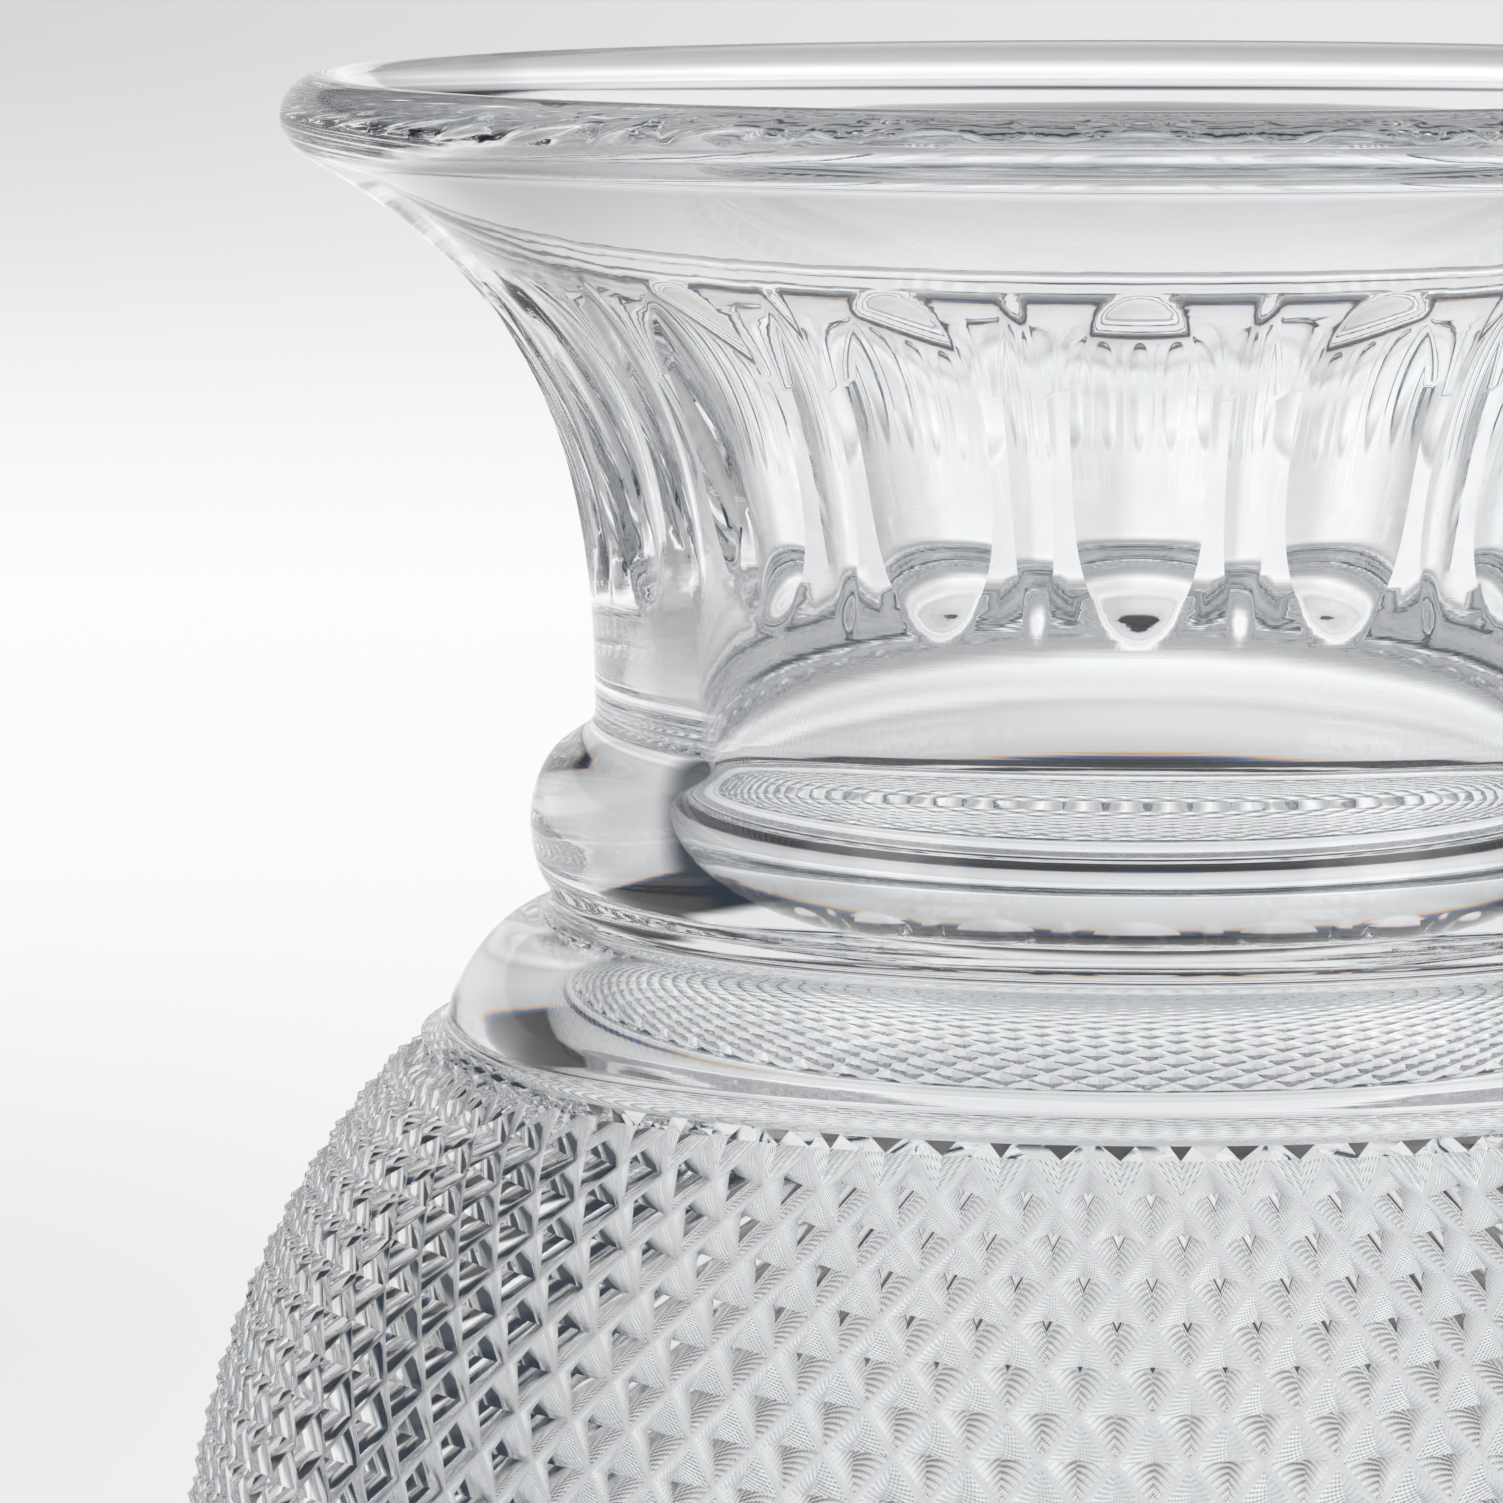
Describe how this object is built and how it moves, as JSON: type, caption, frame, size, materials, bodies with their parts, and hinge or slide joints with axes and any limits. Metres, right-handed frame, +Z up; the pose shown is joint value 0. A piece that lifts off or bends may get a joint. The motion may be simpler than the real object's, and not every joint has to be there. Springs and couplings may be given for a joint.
{
  "type": "cut crystal vase",
  "caption": "Footed clear crystal vase with a flared, fluted neck, a collar ring and a round belly cut all over with small diamonds.",
  "frame": {"origin": "on the vase's axis, in the plane that the foot's resting ring stands on", "axes": "+Z up along the vase's axis, from the foot to the mouth; +X to the right and +Y away from the viewer, where one flute of the neck faces straight forwards"},
  "size_m": [0.1812, 0.1812, 0.3],
  "materials": {
    "cut_crystal": "polished, cut all over with grooves that meet in small pyramids",
    "clear_crystal": "polished smooth",
    "foot_crystal": "polished, with a ground resting ring and a star cut underneath",
    "clear_bond": "clear set glass adhesive"
  },
  "bodies": {
    "root": {"vase_body": "cut_crystal", "knop": "clear_crystal", "foot": "foot_crystal", "upper_bond": "clear_bond", "lower_bond": "clear_bond"}
  },
  "joints": []
}
